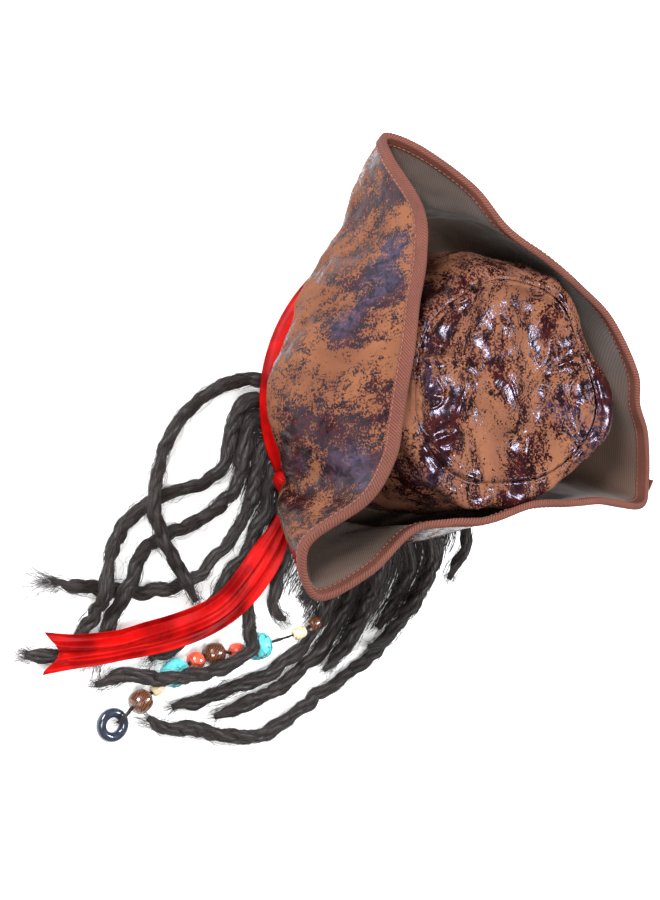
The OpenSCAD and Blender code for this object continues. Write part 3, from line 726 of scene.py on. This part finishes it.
def make_strand():
    """The strand, straight through each bead's bore, with the ring on its end."""
    ends = np.concatenate([BEADS[:1], BEADS, BEADS[-1:]])
    axes = unit(ends[2:] - ends[:-2])
    threaded = [list(place + way * (half - 0.2) * axis) for place, half, axis in zip(BEADS, BEAD_HALVES, axes)
                for way in (-1, 1)]
    tip = [list(RING_NEAR + step) for step in ([0, -3.4, 7.4], [0, 1, 6.6], [0, 6, 3])]
    route = [oval_at(101, WEFT_OUT + 0.6, 8)] + STRAND_LEAD + threaded + tip
    rng = np.random.default_rng(77)
    line, run = spaced(route, 1.5)
    side, up = across(line)
    twist = rope_of_hair(line, run, side, up, STRAND_R, rng, 2, 7, (60, 80))
    strand = hair_piece("bead_strand_hair", twist)
    stray = loose_hairs(line, run, side, up, STRAND_R * 1.6, rng, 0.16, 22, 10)
    wisps = hair_piece("bead_strand_wisps", stray)
    beads = [finish_node(f"bead_{k}", material) for k, material in enumerate(BEAD_FINISH, 1)]
    ring = finish_node("strand_ring", RING)
    make_cord(strand, "bead_strand", [wisps, ring, *beads])


make_strand()

# ---- brim ----

EDGE_ANGLES, EDGE_REACH, EDGE_HEIGHTS = np.array(EDGE, float).T
EDGE_POINTS = polar(np.radians(EDGE_ANGLES), EDGE_REACH, EDGE_HEIGHTS)


def brim_surface(columns, s):
    """The brim's middle surface and its outward normals: columns round the hat, s from the crown out."""
    edge = through(EDGE_POINTS, np.arange(columns) * len(EDGE_POINTS) / columns, closed=True)
    angle = np.arctan2(edge[:, 1], edge[:, 0])[:, None]
    out = np.hypot(edge[:, 0], edge[:, 1])[:, None]
    r = oval_r(angle, BRIM_IN)
    pinch = toward(angle, 137) ** 2
    sag = 27 - 9 * pinch - 7 * toward(angle, 25) ** 2
    bow = r + 48 - 28 * pinch + 0.25 * np.maximum(0, out - r - 20)
    s = np.broadcast_to(s, (columns, np.shape(s)[-1]))
    middle = polar(angle, bezier((r, r + sag, bow, out), s), bezier((BRIM_Z, 22, 58, edge[:, 2:]), s))
    loose = ease(s / 0.3) * ease((1 - s) / 0.35)
    waves = 2.4 * ripples(middle * [1, 1, 0.6], 95, 5, 2) + 0.9 * ripples(middle, 34, 8, 2)
    raised = loose * waves + fold_height(angle, s) * ease((1 - s) / 0.12)
    middle = middle + raised[..., None] * surface_normals(middle)
    return middle, surface_normals(middle)


# Ridges and creases of the left flap: corners as (angle, share of the brim), height, width
FLAP_FOLDS = [(((-17, 0.67), (-4, 0.40), (13, 0.42)), 4.0, 9), (((31, 0.64), (37, 0.84)), -1.8, 3.5),
              (((55, 0.82), (70, 0.96)), -1.6, 3.5), (((78, 0.29), (73.5, 0.8), (75.5, 1.0)), -3.2, 6),
              (((-2, 0.55), (14, 0.62), (24, 0.60)), -1.8, 5), (((48, 0.30), (58, 0.55), (62, 0.72)), 2.4, 9)]
# Millimetres to a degree round the brim, and across the whole of it
FOLD_SPAN = np.array([1.9, 130])


def fold_height(angle, s):
    """How far FLAP_FOLDS raise the brim: a ridge has a shallow trough at both sides."""
    here = np.stack(np.broadcast_arrays(np.degrees(angle), s), -1) * FOLD_SPAN
    total = 0
    for corners, height, width in FLAP_FOLDS:
        nearest = np.inf
        for a, b in zip(np.array(corners[:-1]) * FOLD_SPAN, np.array(corners[1:]) * FOLD_SPAN):
            share = np.clip(((here - a) @ (b - a)) / ((b - a) @ (b - a)), 0, 1)
            nearest = np.minimum(nearest, np.linalg.norm(here - a - share[..., None] * (b - a), axis=-1))
        total = total + height * (hump(nearest, 0, width) - 0.4 * hump(nearest, 0, 2.4 * width))
    return total


COLUMNS = 540
across_brim = np.linspace(0, 1, 46)
MIDDLE, NORMALS = brim_surface(COLUMNS, across_brim)


def brim_layer(distance):
    """The brim's middle surface, moved outward by one distance or by a grid of them."""
    return MIDDLE + np.broadcast_to(distance, MIDDLE.shape[:2])[..., None] * NORMALS


def make_brim():
    creases = np.clip(1 - np.abs(ripples(MIDDLE, 52, 21, 2)) * 7, 0, 1)
    crumple = 0.28 * ripples(MIDDLE, 15, 22, 2) - 0.5 * creases
    crumple *= ease((1 - across_brim) / 0.08)
    leather = shell("brim_leather", brim_layer(LEATHER_OUT + crumple), brim_layer(LEATHER_IN), LEATHER)
    keep(leather, "brim_outer")
    slack = 0.35 * ripples(MIDDLE, 26, 31, 2) * ease((1 - across_brim) / 0.1)
    twill = shell("brim_twill", brim_layer(-LEATHER_IN), brim_layer(-LINING_OUT - slack), LINING)
    keep(twill, "brim_lining")
    keep(shell("brim_foam", brim_layer(FOAM_HALF), brim_layer(-FOAM_HALF), BOARD), "brim_core")


make_brim()

# ---- binding tape, folded over the edge and stitched ----

TAPE_W, TAPE_T, TAPE_FOLD = 9, 0.7, 0.6
TAPE_COLUMNS = 2800
RIB_PITCH, RIB_SLANT = 2.1, 0.75
STITCH_PITCH, STITCH_DEPTH = 3.9, 7.4


def edge_strip(columns, depths):
    """The brim's middle surface at these depths in from its edge, evenly round the hat: its points,
    its normals and the length of the edge."""
    u = np.linspace(0, COLUMNS, 6 * COLUMNS + 1)
    rim = read_off(np.concatenate([MIDDLE[:, -1], MIDDLE[:1, -1]]), np.arange(COLUMNS + 1), u)
    run = np.concatenate([[0], np.cumsum(np.linalg.norm(np.diff(rim, axis=0), axis=1))])
    fine = between_columns(np.interp(np.linspace(0, run[-1], columns, endpoint=False), run, u))
    normals = surface_normals(fine)
    back = np.cumsum(np.linalg.norm(np.diff(fine[:, ::-1], axis=1), axis=-1), axis=1)
    back = np.concatenate([np.zeros((columns, 1)), back], axis=1)
    places, facing = (np.stack([read_off(grid[i, ::-1], back[i], depths) for i in range(columns)])
                      for grid in (fine, normals))
    return places, unit(facing), run[-1]


def between_columns(at):
    """The brim's middle surface at fractional columns."""
    low = np.floor(at).astype(int) % COLUMNS
    high, t = (low + 1) % COLUMNS, (at - np.floor(at))[:, None, None]
    return MIDDLE[low] * (1 - t) + MIDDLE[high] * t


def make_binding():
    """Tape down one face of the brim, round its edge and up the other."""
    flat = np.linspace(TAPE_W, TAPE_FOLD, 17)
    bend = np.linspace(0, math.pi, 16)[1:-1]
    n = len(flat)
    stations = 2 * n + len(bend)
    places, facing, round_it = edge_strip(TAPE_COLUMNS, flat)
    rim = places[:, -1]
    outward = unit(places[:, -1] - places[:, -3])
    top, low = LEATHER_OUT + 0.1, -LINING_OUT - 0.1
    centre, half = (top + low) / 2, (top - low) / 2
    sewn_down = -0.15 * hump(flat, TAPE_W - 1.6, 1.2)

    def contour(extra, ribs=0.0):
        """One face, round the edge, and the other face, extra millimetres off the brim's skins."""
        thick = np.broadcast_to(extra + ribs, (TAPE_COLUMNS, stations))
        one = places + (top + thick[:, :n] + sewn_down)[..., None] * facing
        two = places + (low - thick[:, -n:][:, ::-1] - sewn_down)[..., None] * facing
        swing = half + thick[:, n:-n]
        turn = (rim[:, None] + (centre + swing * np.cos(bend))[..., None] * facing[:, -1:]
                + (swing * np.sin(bend) * 0.6)[..., None] * outward[:, None])
        return np.concatenate([one, turn, two[:, ::-1]], axis=1)

    run = np.arange(TAPE_COLUMNS)[:, None] * round_it / TAPE_COLUMNS
    arc = half + TAPE_T
    way = np.concatenate([flat + arc, arc * (1 - 2 * bend / math.pi), -flat[::-1] - arc])
    rib_count = round(round_it / RIB_PITCH)
    rib = np.sin(TURN * (rib_count * run / round_it + RIB_SLANT * way[None] / RIB_PITCH))
    # Painted light and shade: tone is high on the raised rib tops and low in the grooves between them, and 0
    # on the face against the brim.
    tone = np.concatenate([0.5 + 0.5 * rib, 0 * rib], axis=1)
    tape = shell("brim_binding_tape", contour(TAPE_T, 0.2 * rib), contour(0.05), TAPE,
                 tone=tone)
    keep(tape, "brim_binding")
    seam = int(np.argmin(np.abs(flat - STITCH_DEPTH)))
    make_stitches(int(round_it / STITCH_PITCH), places[:, seam], facing[:, seam], top + TAPE_T, low - TAPE_T)


def make_stitches(count, line, normal, top, low):
    """A row of stitches near the tape's inner border, on both faces."""
    t = np.linspace(-0.5, 0.5, 7)
    pitch = TAPE_COLUMNS / count
    at = ((np.arange(count)[:, None] * pitch + t[None] * pitch * 0.68) % TAPE_COLUMNS).astype(int)
    parts = []
    for height, way in ((top, 1), (low, -1)):
        arch = 0.16 * (1 - (2 * t) ** 2)
        centres = line[at] + (height + way * arch)[None, :, None] * normal[at]
        along = unit(np.gradient(centres, axis=1))
        side = unit(np.cross(normal[at], along))
        radii = np.tile(0.34 * np.sqrt(1.02 - 0.98 * (1.9 * t) ** 2), (count, 1))
        parts.append((centres, radii, side, np.cross(along, side)))
    centres, radii, side, up = (np.concatenate(group) for group in zip(*parts))
    points, faces = tubes(centres, radii, side, up, 6)
    thread = piece("brim_stitches", points, faces, THREAD)
    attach(thread, "root")


make_binding()


def make_tab():
    """The tape's folded end, which stands up a little from the corner."""
    corner, reach, height = math.radians(198), 171.4, 137.0
    radial, level = polar(corner, 1.0, 0.0), polar(corner + TURN / 4, 1.0, 0.0)
    centre = polar(corner, reach, height)
    v = np.linspace(-1, 1, 30)[:, None]
    w = np.linspace(-1, 1, 20)[None]
    bow = 0.5 * np.cos(2.2 * v) + 0.25 * w * v
    rib = np.sin(v * 22 + w * 9)
    base = centre + (4.3 * w * (1 - 0.05 * v))[..., None] * level + (6.4 * v + 0 * w)[..., None] * [0, 0, 1.0]
    outer = base + (0.35 + bow * 0.5 + 0.14 * rib)[..., None] * radial
    inner = base + (-0.45 + bow * 0.5)[..., None] * radial
    # Painted light and shade: tone is high where the ribs stand out and low between them, on both faces.
    tone = np.concatenate([0.5 + 0.5 * rib, 0.5 + 0.5 * rib[:, ::-1]], axis=1)
    tab = shell("binding_tab", outer, inner, TAPE, closed=False, tone=tone)
    keep(tab, "binding_end")


make_tab()

# ---- crown ----

# The side that slumps, and the side where the crown rolls over its seam, in degrees
SLUMP, ROLL = 219, 120


def seam_wander(angle):
    """How far the seam round the tip strays outward and upward."""
    out = 1.8 * np.sin(4 * angle + 1.0) + 1.1 * np.sin(7 * angle + 0.4)
    rise = 2.2 * np.sin(2 * angle + 0.6) + 1.3 * np.sin(5 * angle + 2.0)
    return out, rise


def crown_side_at(angle, s, d):
    """The crown's wall, d outside its middle: s runs from the brim to the tip."""
    low = oval_r(angle, 2.5 + d)
    high = tip_r(angle) + 0.4 * d
    slump = toward(angle, SLUMP)
    swell = 10 + 16 * slump
    r = bezier((low, low + 0.35 * swell, high + swell + 6 + 0.6 * d, high), s)
    z = bezier((47, 92, 152 + 8 * slump + 0.8 * d, CROWN_H + d), s)
    out, rise = seam_wander(angle)
    late = ease((s - 0.55) / 0.45)
    return polar(angle, r + out * late, z + rise * late)


# Creases that run in from the tip's seam: start, end and depth
TIP_CREASES = [((66, 40), (26, -2), 3.4), ((58, 58), (30, 40), 2.2), ((20, 76), (6, 52), 2.6),
               ((-44, 62), (-22, 40), 2.4), ((-84, -14), (-52, -22), 2.4), ((-40, -66), (-26, -40), 2.0)]


def make_crown_side(angle):
    """The crown's wall: folds, rolls where it slumps, and puckers at its seam."""
    s = np.linspace(0, 1, 54)[None]
    side = crown_side_at(angle, s, 0.0)
    normals = surface_normals(side)
    slump, near = toward(angle, SLUMP) ** 2, toward(angle, ROLL) ** 2
    body = ease(s / 0.25) * ease((1 - s) / 0.12)
    folds = 2.4 * ripples(side * [1, 1, 0.5], 56, 41, 2)
    folds = folds + (1.2 + 6.5 * near) * hump(s, 0.84, 0.09) * (
        1 + 0.35 * np.sin(7 * angle) + 0.2 * np.sin(13 * angle))
    rolls = slump * 2.6 * np.sin(side[..., 2] / 9.5 + 1.6 * np.sin(3 * angle)) * ease((s - 0.35) / 0.3)
    side = side + (body * (folds + rolls))[..., None] * normals
    pucker = ease((s - 0.86) / 0.12) * (0.25 * np.sin(angle * 61) + 0.35 * np.sin(angle * 37 + 1))
    crease = np.clip(1 - np.abs(ripples(side, 40, 44, 2)) * 8, 0, 1)
    groove = (2.2 + 2.0 * near) * ease((s - 0.965) / 0.035)
    detail = 0.25 * ripples(side, 19, 43, 2) - 0.6 * crease * body + pucker - groove
    outer = side + (1.0 + detail)[..., None] * normals
    leather = shell("crown_leather_side", outer, side - 0.1 * normals, CROWN_LEATHER)
    keep(leather, "crown_side")


def make_crown_tip(angle):
    """The dented top panel: k runs from 1 at its seam to nearly 0 at its middle."""
    k = np.linspace(1, 0.02, 60)[None]
    out, rise = seam_wander(angle)
    r = tip_r(angle) * k + out * k**3
    x, y = r * np.cos(angle), r * np.sin(angle)
    flat = np.stack([x, y, 0 * x], -1)
    z = CROWN_H - TIP_DENT * (1 - k * k) + rise * k**3
    inside = ease((1 - k) / 0.15)
    z = z + inside * (3.6 * ripples(flat, 66, 51, 2) + 0.25 * ripples(flat, 20, 52, 2))
    for (x0, y0), (x1, y1), depth in TIP_CREASES:
        along = np.array([x1 - x0, y1 - y0])
        share = np.clip(((x - x0) * along[0] + (y - y0) * along[1]) / (along @ along), 0, 1)
        apart = np.hypot(x - x0 - share * along[0], y - y0 - share * along[1])
        fade = 1 - 0.6 * share
        z = z + fade * depth * (0.55 * hump(apart, 6.5, 3.5) - hump(apart, 0, 2.2))
    crease = np.clip(1 - np.abs(ripples(flat, 58, 53, 2)) * 9, 0, 1)
    z = z - inside * 0.9 * crease
    rim_pucker = ease((k - 0.86) / 0.12) * (0.22 * np.sin(angle * 61 + 0.6) + 0.3 * np.sin(angle * 43))
    z = z + rim_pucker + 1.6 * hump(k, 0.955, 0.025) - 2.6 * ease((k - 0.965) / 0.035)
    top = np.stack([x, y, z + 1.0], -1)
    under = np.stack([x, y, z + 0.1], -1)
    points = np.concatenate([top.reshape(-1, 3), under.reshape(-1, 3)])
    columns, n = x.shape
    half = columns * n
    ends = np.arange(columns) * n + n - 1
    faces = [grid_faces(columns, n), grid_faces(columns, n, start=half, flip=True), [ends.tolist()],
             [(ends[::-1] + half).tolist()]]
    rim = np.arange(columns) * n
    after = np.roll(rim, -1)
    faces.append(np.stack([rim, rim + half, after + half, after], -1))
    keep(piece("crown_leather_tip", points, faces, CROWN_LEATHER), "crown_tip")


def make_crown_lining(angle):
    """Twill that hangs a little loose inside the wall and under the tip."""
    rise = np.linspace(0, 0.99, 36)[None]
    wall = crown_side_at(angle, rise, -0.5)
    ks = np.linspace(0.97, 0.02, 24)[None]
    roof = polar(angle, tip_r(angle) * ks, CROWN_H - TIP_DENT * (1 - ks * ks) - 0.5)
    inner = np.concatenate([wall, roof], axis=1)
    way = surface_normals(inner)
    gap = 5.0 * np.concatenate([ease(rise / 0.2), 1 + 0 * ks], axis=1)
    inner = inner - gap[..., None] * way
    loose = 0.8 * ripples(inner, 38, 61, 2)
    inner_face = inner - (0.9 + 0.5 * (loose + 0.8))[..., None] * way
    keep(shell("crown_twill", inner - 0.35 * way, inner_face, LINING), "crown_lining")


for make_part in (make_crown_side, make_crown_tip, make_crown_lining):
    make_part(turns(420))

# ---- headband, sweatband and weft ----


def oval_wall(name, inner_grow, outer_grow, low, high, material, node, wobble=0.0, seed=1):
    """A band round the head opening, between two ovals and two heights."""
    angle = turns(300)
    z = np.linspace(low, high, 16)[None] + 0 * angle
    sway = wobble * ripples(polar(angle, 90.0, z), 40, seed, 2)
    edge = np.sin(math.pi * (z - low) / (high - low)) ** 0.25
    middle, half = (inner_grow + outer_grow) / 2, (outer_grow - inner_grow) / 2
    outer = polar(angle, oval_r(angle, middle + half * edge + sway), z)
    inner = polar(angle, oval_r(angle, middle - half * edge + sway), z)
    keep(shell(name, outer, inner, material), node)


oval_wall("headband_board", 1.3, 2.7, 0, BAND_H, LINING, "headband")
oval_wall("sweatband_leather", 0.0, 1.2, SWEAT_LOW, SWEAT_H, SWEAT, "sweatband", -0.15, 9)


def make_weft():
    """Hair sewn side by side along a tape round the back and the sides."""
    rng = np.random.default_rng(13)
    count, stations = 420, 10
    angle = np.radians(np.linspace(34, 164, count))[:, None] + rng.normal(0, 0.002, (count, 1))
    z = np.linspace(2, 40, stations)[None]
    angle = angle + 0.004 * np.sin(z / 4 + phases(rng, count))
    centres = polar(angle, oval_r(angle, 4.1 + rng.uniform(-0.3, 0.3, (count, 1))), z)
    radii = rng.uniform(0.35, 0.6, (count, 1)) * np.ones((1, stations))
    radial = unit(centres * [1, 1, 0])
    level = np.cross(radial, [0, 0, 1.0])
    strands = thicket(centres, radii, radial, level, rng.beta(1.6, 2.2, count))
    keep(hair_piece("hair_weft_strands", strands), "hair_weft")


make_weft()

# ---- bandana ----

SATIN_T = 2
BAND_LOW, BAND_HIGH = 14, 41.5


def make_band():
    angle = turns(420)
    v = np.linspace(0, 1, 40)[None]
    low, high = WEFT_OUT + 13.5, WEFT_OUT + 5.6 - 2.6
    grow = low + (high - low) * v + 2.4 * v * (1 - v)
    z = BAND_LOW + (BAND_HIGH - BAND_LOW) * v + 0 * angle
    wander = 0.10 * np.sin(2 * angle + 0.5) + 0.06 * np.sin(5 * angle)
    pleats = np.abs(((v + wander) * 2.3) % 1.0 - 0.35)
    folds = 1.5 * ease(pleats / 0.65) - 0.9 + 0.35 * np.sin(9 * angle + 6 * v) * v * (1 - v)
    fade = ease(v / 0.06) * ease((1 - v) / 0.06)
    outer = polar(angle, oval_r(angle, grow + folds * fade), z)
    inner = polar(angle, oval_r(angle, grow - SATIN_T), z)
    band = shell("bandana_wrap", outer, inner, SATIN)
    keep(band, "bandana_band")


KNOT, KNOT_HALF = np.array([12, 115.5, 24.2]), np.array([14, 8, 10.2])


def make_knot():
    columns, rows = 96, 60
    around = turns(columns)
    tilt = np.linspace(0.03, math.pi - 0.03, rows)[None]
    x = np.cos(tilt) + 0 * around
    ring = np.sin(tilt) ** 0.8
    twist = around + 0.7 * x
    ridges = 0.07 * np.sin(7 * twist) + 0.04 * np.sin(13 * twist + 2 * x)
    waist = 1 - 0.16 * hump(x, 0, 0.18)
    r = ring * (0.92 + ridges * ring) * waist
    points = KNOT + KNOT_HALF * np.stack([x, r * np.cos(around), r * np.sin(around)], -1)
    ends = np.arange(columns) * rows
    faces = [grid_faces(columns, rows), [ends[::-1].tolist()], [(ends + rows - 1).tolist()]]
    keep(piece("bandana_knot_satin", points, faces, SATIN), "bandana_knot")


TAIL_LOWER = [[-1, 127, 22], [-9, 137, 18.5], [-15, 150, 15.5], [-19, 168, 14.4], [-20, 188, 14.4],
              [-17, 208, 14.4], [-9, 229, 14.4], [3, 249, 14.4], [16, 266, 14.4], [29, 281, 14.4],
              [41, 295, 14.4], [56, 311, 14.4], [71, 328, 14.4]]
TAIL_UPPER = [[6, 127, 26], [-1, 136, 22], [-6, 150, 18.6], [-9, 168, 17], [-9, 188, 18.5],
              [-5, 209, 24], [3, 228, 27], [13, 248, 21], [24, 265, 17], [35, 281, 16.8],
              [48, 295, 16.8], [62, 308, 16.8], [79, 320, 16.8]]


def make_tail(name, body, route, cut, seed):
    """A tail whose end is cut off at a slant, by cut millimetres from one side to the other."""
    line, run = spaced(route, 1.6)
    side, up = across(line)
    length = run[-1]
    w = np.linspace(-1, 1, 48)[None]
    # The slanted cut: stations slide back along one edge
    back = abs(cut) * (1 + np.sign(cut) * w) / 2
    at = run[:, None] * (1 - back / length)
    places, sides, ups = (read_off(values, run, at) for values in (line, side, up))
    open_out = 0.42 + 0.58 * ease(at / 45)
    half = 9.2 * open_out
    drift = 0.5 * np.sin(at / 47 + seed)
    height = 2.0 * np.cos(1.5 * math.pi * w + drift * 2) * (0.75 + 0.25 * np.sin(at / 31 + seed))
    for fold, wide, deep in ((-0.42, 0.13, 0.9), (0.35, 0.16, 1.0)):
        height = height - deep * hump(w, fold + 0.12 * drift, wide)
    height = height + 0.25 * np.sin(at / 23 + 3 * w)
    middle = places + (half * w)[..., None] * sides + height[..., None] * ups
    edge = 0.28 * ease((1 - np.abs(w)) / 0.08) + 0.05
    outer = middle + edge[..., None] * ups
    inner = middle - edge[..., None] * ups
    tail = shell(name, inner, outer, SATIN, closed=False)
    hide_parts(body)
    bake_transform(tail)


make_band()
make_knot()
make_tail("bandana_tail_under", "tail_lower", TAIL_LOWER, -20, 1)
make_tail("bandana_tail_over", "tail_upper", TAIL_UPPER, 20, 2)


# ---- floor ----


def make_floor():
    """Pale paper that glows near the hat, 0.3 mm under it."""
    ends = [-6000, 6000]
    grid = np.stack(np.meshgrid(ends, ends, [-0.3], indexing="ij"), -1).reshape(-1, 3)
    m = Shader("floor")
    paper = m.noise(m.place(), 60, 4)
    away = m.add("VectorMath", {"operation": "LENGTH"}, Vector=m.place()).outputs["Value"]
    m.finish(Base_Color=m.mix(paper, (0.84, 0.84, 0.84), (0.87, 0.87, 0.87)), Roughness=0.9,
             Emission_Color=(1.0, 1.0, 1.0), Emission_Strength=m.step(away, 0.45, 1.1, 0.42, 0.08))
    mesh = bpy.data.meshes.new("floor")
    mesh.from_pydata((grid * MM).tolist(), [], [[0, 2, 3, 1]])
    mesh.materials.append(m.material)
    floor = bpy.data.objects.new("floor", mesh)
    bpy.context.scene.collection.objects.link(floor)


make_floor()
